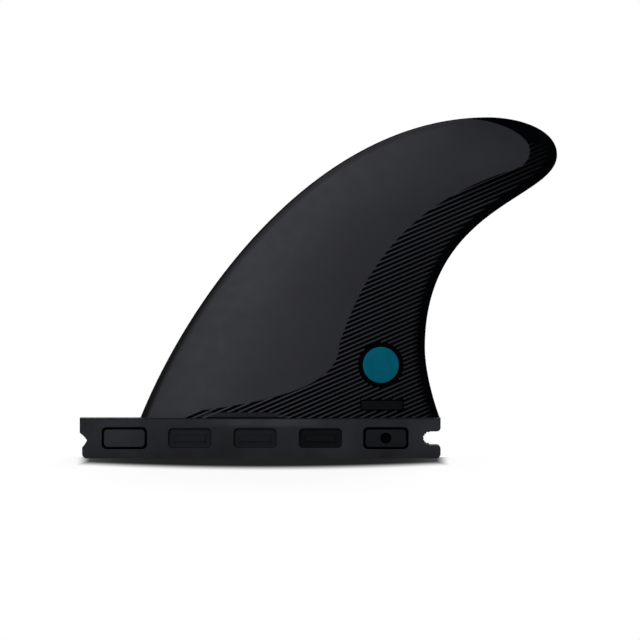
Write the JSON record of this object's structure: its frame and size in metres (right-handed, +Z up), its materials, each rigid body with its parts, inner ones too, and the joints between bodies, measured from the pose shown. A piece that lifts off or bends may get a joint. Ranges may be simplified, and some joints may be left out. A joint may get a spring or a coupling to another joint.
{
  "type": "surfboard fin",
  "caption": "Raked side fin for a surfboard: foiled blade with fine slanted ribs on one side, on a straight single tab that seats in a fin box.",
  "frame": {"origin": "centre of the tab's flat bottom face", "axes": "+X aft along the tab, towards the trailing edge and the tip; +Z up from the tab to the tip; -Y is the convex outer side with the ribs"},
  "size_m": [0.1512, 0.0072, 0.108],
  "materials": {
    "moulded_body": "fine satin moulded grain on the raised faces, smoother and blacker in the grooves and bands, one flat teal disc",
    "recess_black": "smooth black in the grooves, the bands and round the disc",
    "emblem_teal": "flat teal ink on a smooth disc"
  },
  "bodies": {
    "root": {"fin": "moulded_body"}
  },
  "joints": []
}
